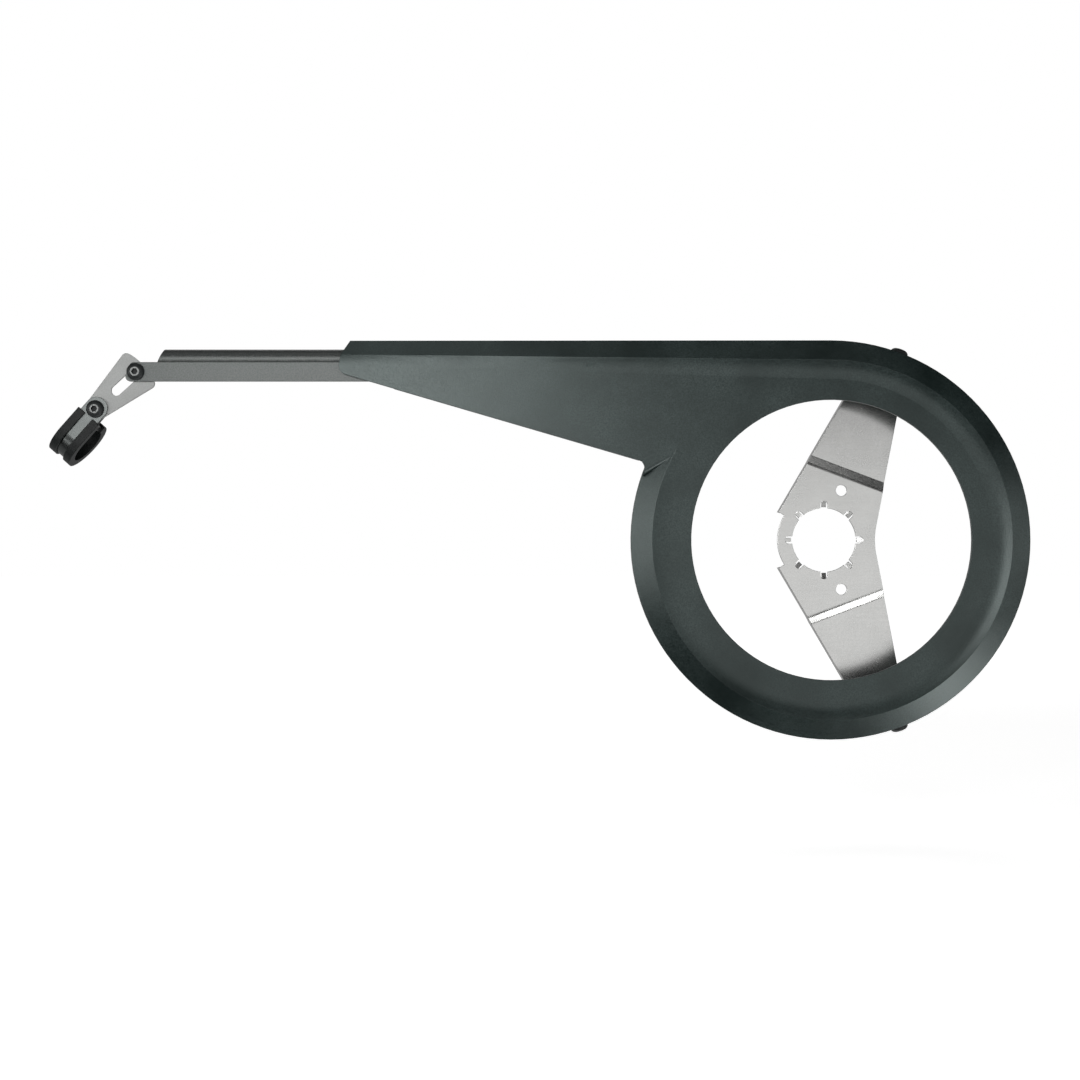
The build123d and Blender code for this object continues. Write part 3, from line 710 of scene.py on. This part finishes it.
def make_nuts(sizes, plated):
    """The nuts of the link, the clamp and the rim screws."""
    values = {"Flats": sizes.nut_flats, "Height": sizes.nut_height, "Chamfer": sizes.nut_chamfer,
              "Bore Radius": sizes.shank_radius, "Round Sides": sizes.round_sides, "Finish": plated}
    for node_name, body in (("link_nut", "link_pivot"), ("clamp_nut", "clamp")):
        low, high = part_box(node_name)
        seat = Vector(((low.x + high.x) / 2, low.y, (low.z + high.z) / 2))
        nut = grown(node_name + "_chamfered", nut_tree(), [(seat, (0.0, 1.0, 0.0))], values)
        join_object(nut, body, "nut_steel", node_name)
    low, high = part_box("rim_nuts")
    rim_nuts = grown("rim_nuts_chamfered", nut_tree(),
                     rim_seats(sizes.rim_nut_radius, (low.y + high.y) / 2, inward=True), values)
    join_object(rim_nuts, "guard", "nut_steel", "rim_nuts")


# Stage


def make_floor(stage):
    """A pale floor under the guard that keeps its shadow and glows white further off."""
    half = stage.floor_size / 2
    level = cad_box[0].z - stage.floor_drop
    corners = [(across * half, along * half, level)
               for across, along in ((-1, -1), (1, -1), (1, 1), (-1, 1))]
    mesh = bpy.data.meshes.new("floor")
    mesh.from_pydata(corners, [], [(0, 1, 2, 3)])
    floor = bpy.data.objects.new("floor", mesh)
    bpy.context.scene.collection.objects.link(floor)
    finish = bpy.data.materials.new("pale_floor")
    finish.use_nodes = True
    tree = finish.node_tree
    tree.nodes.clear()
    pale = node(tree, "ShaderNodeBsdfDiffuse", {"Color": (0.8, 0.8, 0.8, 1.0)})
    # The glow rises with the distance from the guard, in metres
    near, far, near_glow, far_glow = 0.5, 1.6, 0.78, 1.0
    place = tree.nodes.new("ShaderNodeTexCoord").outputs["Object"]
    distance = node(tree, "ShaderNodeVectorMath", {0: place}, operation="LENGTH").outputs["Value"]
    strength = ranged(tree, distance, near, far, near_glow, far_glow, smooth=True)
    glow = node(tree, "ShaderNodeEmission", {"Color": WHITE, "Strength": strength})
    both = node(tree, "ShaderNodeAddShader", {0: pale.outputs[0], 1: glow.outputs[0]})
    sight = tree.nodes.new("ShaderNodeLightPath").outputs
    mirrored = math_node(tree, "ADD", sight["Is Glossy Ray"], sight["Is Transmission Ray"])
    seen = math_node(tree, "ADD", sight["Is Camera Ray"], mirrored, clamp=True)
    mixed = node(tree, "ShaderNodeMixShader", {0: seen, 1: pale.outputs[0], 2: both.outputs[0]})
    node(tree, "ShaderNodeOutputMaterial", {"Surface": mixed.outputs[0]})
    mesh.materials.append(finish)
    floor.visible_glossy = False
    floor.visible_shadow = False


def make_surround(scene, stage):
    """White to the camera; the guard mirrors a dim studio that is paler behind it and below."""
    world = bpy.data.worlds.new("studio")
    world.use_nodes = True
    tree = world.node_tree
    tree.nodes.clear()
    # A direction's parts run from -1 to 1: +Y is behind the guard and +Z is up
    way = parts_of(tree, tree.nodes.new("ShaderNodeTexCoord").outputs["Generated"])
    back_start, back_full = 0.0, 0.4
    roof_start, roof_end = 0.25, 0.7
    ground_full, ground_end = -0.9, -0.3
    away_start, away_full = -0.5, 0.0
    backdrop = ranged(tree, way[1], back_start, back_full, 0.0, stage.backdrop_level, smooth=True)
    below_roof = ranged(tree, way[2], roof_start, roof_end, 1.0, 0.0, smooth=True)
    behind = math_node(tree, "MULTIPLY", backdrop, below_roof)
    ground = ranged(tree, way[2], ground_full, ground_end, 1.0, 0.0, smooth=True)
    away = ranged(tree, way[1], away_start, away_full, 0.0, 1.0, smooth=True)
    bright = math_node(tree, "MAXIMUM", behind, math_node(tree, "MULTIPLY", ground, away))
    sight = tree.nodes.new("ShaderNodeLightPath").outputs
    mirrored = math_node(tree, "ADD", sight["Is Glossy Ray"], sight["Is Transmission Ray"])
    white = math_node(tree, "ADD", sight["Is Camera Ray"],
                      math_node(tree, "MULTIPLY", mirrored, bright), clamp=True)
    dim = node(tree, "ShaderNodeBackground", {"Color": WHITE, "Strength": stage.studio_level})
    full = node(tree, "ShaderNodeBackground", {"Color": WHITE, "Strength": 1.0})
    mixed = node(tree, "ShaderNodeMixShader", {0: white, 1: dim.outputs[0], 2: full.outputs[0]})
    node(tree, "ShaderNodeOutputWorld", {"Surface": mixed.outputs[0]})
    scene.world = world


def panel_lamp(name, watts, place, target, width, height):
    """A soft rectangular lamp that faces a target."""
    lamp = bpy.data.lights.new(name, "AREA")
    lamp.shape = "RECTANGLE"
    lamp.size = width
    lamp.size_y = height
    lamp.energy = watts
    stand = bpy.data.objects.new(name, lamp)
    aim = (Vector(target) - Vector(place)).to_track_quat("-Z", "Y")
    stand.matrix_world = Matrix.Translation(place) @ aim.to_matrix().to_4x4()
    stand.visible_camera = False
    bpy.context.scene.collection.objects.link(stand)


def make_lamps(stage):
    """Soft panels round the camera's side of the guard and below it, and a lamp over the floor."""
    panel_lamp("front_panel", stage.front_power, place=(0.32, -0.95, -0.1), target=(0.32, 0.0, -0.1),
               width=0.85, height=0.52)
    panel_lamp("left_panel", stage.left_power, place=(-0.42, -0.89, 0.15), target=(-0.42, 0.0, 0.15),
               width=0.48, height=0.40)
    panel_lamp("side_panel", stage.side_power, place=(-1.45, -0.85, 0.1), target=(-0.1, -0.02, 0.0),
               width=0.8, height=1.0)
    panel_lamp("low_panel", stage.low_power, place=(0.85, -0.75, -0.75), target=(0.05, -0.02, -0.05),
               width=0.6, height=0.6)
    panel_lamp("right_panel", stage.right_power, place=(1.3, -0.85, 0.0), target=(0.05, -0.02, 0.0),
               width=0.7, height=0.7)
    panel_lamp("upper_panel", stage.upper_power, place=(-0.38, -0.48, 1.1), target=(-0.22, -0.02, 0.1),
               width=0.5, height=0.3)
    panel_lamp("sky_panel", stage.sky_power, place=(0.22, -0.85, 0.84), target=(0.02, 0.0, 0.04),
               width=0.4, height=0.24)
    panel_lamp("under_panel", stage.under_power, place=(0.0, 0.16, -0.9), target=(0.0, 0.0, 0.0),
               width=1.2, height=0.6)
    panel_lamp("floor_lamp", stage.top_power, place=(-0.1, 0.95, 1.1), target=(-0.1, 0.1, -0.1),
               width=1.2, height=0.7)


def make_camera(scene, stage):
    """A camera square to the guard's face, at the photograph's distance."""
    camera = bpy.data.cameras.new("camera")
    camera.lens = stage.lens
    camera.sensor_width = SENSOR_WIDTH
    camera.sensor_fit = "HORIZONTAL"
    stand = bpy.data.objects.new("camera", camera)
    stand.location = stage.camera_place
    stand.rotation_euler = (math.pi / 2, 0.0, 0.0)
    scene.collection.objects.link(stand)
    scene.camera = stand


# Operators


class CHAINGUARD_OT_shell(bpy.types.Operator):
    """Give the guard its moulded plastic"""

    bl_idname = "chain_guard.shell"
    bl_label = "Guard shell"

    def execute(self, context):
        dress("guard_shell", moulded_plastic(context.scene.chain_guard.shell))
        return {"FINISHED"}


class CHAINGUARD_OT_plate(bpy.types.Operator):
    """Give the bottom bracket plate its plating"""

    bl_idname = "chain_guard.plate"
    bl_label = "Bottom bracket plate"

    def execute(self, context):
        metal = context.scene.chain_guard.metal
        finish = plated_steel("plated_sheet", metal.zinc, metal.zinc_dark, metal.speck_size,
                              roughness=0.28, turn=0.0, line_share=0.35, relief=0.04)
        dress("bottom_bracket_plate", finish)
        return {"FINISHED"}


class CHAINGUARD_OT_extension(bpy.types.Operator):
    """Give the extension arm its speckled grey"""

    bl_idname = "chain_guard.extension"
    bl_label = "Extension arm"

    def execute(self, context):
        dress("extension_arm", speckled_grey(context.scene.chain_guard.metal))
        return {"FINISHED"}


class CHAINGUARD_OT_link(bpy.types.Operator):
    """Give the stay link its plating"""

    bl_idname = "chain_guard.link"
    bl_label = "Stay link"

    def execute(self, context):
        metal = context.scene.chain_guard.metal
        finish = plated_steel("link_plating", metal.link, metal.link_dark, metal.speck_size,
                              roughness=0.56, turn=0.75, line_share=0.15)
        dress("stay_link", finish)
        return {"FINISHED"}


class CHAINGUARD_OT_clamp(bpy.types.Operator):
    """Give the clamp's band its steel and its lining its rubber"""

    bl_idname = "chain_guard.clamp"
    bl_label = "Stay clamp"

    def execute(self, context):
        settings = context.scene.chain_guard
        metal = settings.metal
        finish = plated_steel("band_steel", metal.band, metal.band_dark, metal.speck_size,
                              roughness=0.30, turn=0.8, line_share=0.2, relief=0.02)
        dress("clamp_band", finish)
        dress("clamp_rubber", lining_rubber(settings.shell))
        return {"FINISHED"}


class CHAINGUARD_OT_bolts(bpy.types.Operator):
    """Make the button head bolts and the extension's screws, with threads"""

    bl_idname = "chain_guard.bolts"
    bl_label = "Bolts and screws"

    def execute(self, context):
        settings = context.scene.chain_guard
        sizes, metal = settings.fasteners, settings.metal
        black = black_oxide(metal)
        # Bright steel on the flat round each socket: key wear, and a painted highlight of the socket's
        # lit edge
        rubbed = plated_steel("wear_and_highlight_steel", metal.link_dark, metal.band, speck=0.0003,
                              roughness=0.45, turn=0.0, line_share=0.2)
        make_pivot_bolts(sizes, black, rubbed)
        make_rim_screws(sizes, black, rubbed)
        make_slide_screws(sizes, black, rubbed)
        return {"FINISHED"}


class CHAINGUARD_OT_nuts(bpy.types.Operator):
    """Make the chamfered nuts and plate the washers"""

    bl_idname = "chain_guard.nuts"
    bl_label = "Nuts and washers"

    def execute(self, context):
        settings = context.scene.chain_guard
        metal = settings.metal
        plated = plated_steel("nut_plating", metal.zinc, metal.zinc_dark, speck=0.0004,
                              roughness=0.3, turn=0.0, line_share=0.3)
        make_nuts(settings.fasteners, plated)
        for washer in ("link_washer", "slide_washers"):
            dress(washer, plated)
        return {"FINISHED"}


class CHAINGUARD_OT_stage(bpy.types.Operator):
    """Set up the floor, the white surround, the lamps and the camera"""

    bl_idname = "chain_guard.stage"
    bl_label = "Stage"

    def execute(self, context):
        stage = context.scene.chain_guard.stage
        make_floor(stage)
        make_surround(context.scene, stage)
        make_lamps(stage)
        make_camera(context.scene, stage)
        context.scene.view_settings.view_transform = "Standard"
        return {"FINISHED"}


STEPS = (
    CHAINGUARD_OT_shell, CHAINGUARD_OT_plate, CHAINGUARD_OT_extension, CHAINGUARD_OT_link,
    CHAINGUARD_OT_clamp, CHAINGUARD_OT_bolts, CHAINGUARD_OT_nuts, CHAINGUARD_OT_stage,
)


# Sidebar and registration


class CHAINGUARD_PT_sidebar(bpy.types.Panel):
    """Settings and steps of the chain guard"""

    bl_label = "Chain guard"
    bl_idname = "CHAINGUARD_PT_sidebar"
    bl_space_type = "VIEW_3D"
    bl_region_type = "UI"
    bl_category = "Chain guard"

    def draw(self, context):
        settings = context.scene.chain_guard
        for group in (settings.shell, settings.metal, settings.fasteners, settings.stage):
            column = self.layout.box().column()
            for prop in group.bl_rna.properties:
                if prop.identifier not in {"rna_type", "name"}:
                    column.prop(group, prop.identifier)
        for operator in STEPS:
            self.layout.operator(operator.bl_idname)


CLASSES = (
    ShellFinish, MetalFinish, FastenerSizes, StageSetup, ChainGuardSettings,
    *STEPS, CHAINGUARD_PT_sidebar,
)


def register():
    """Adds the classes, and the settings to every scene."""
    for cls in CLASSES:
        bpy.utils.register_class(cls)
    bpy.types.Scene.chain_guard = PointerProperty(type=ChainGuardSettings)


def unregister():
    """Takes the settings and the classes away again."""
    del bpy.types.Scene.chain_guard
    for cls in reversed(CLASSES):
        bpy.utils.unregister_class(cls)


def main():
    """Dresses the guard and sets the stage."""
    register()
    bpy.ops.chain_guard.shell()
    bpy.ops.chain_guard.plate()
    bpy.ops.chain_guard.extension()
    bpy.ops.chain_guard.link()
    bpy.ops.chain_guard.clamp()
    bpy.ops.chain_guard.bolts()
    bpy.ops.chain_guard.nuts()
    bpy.ops.chain_guard.stage()


if __name__ == "__main__":
    main()
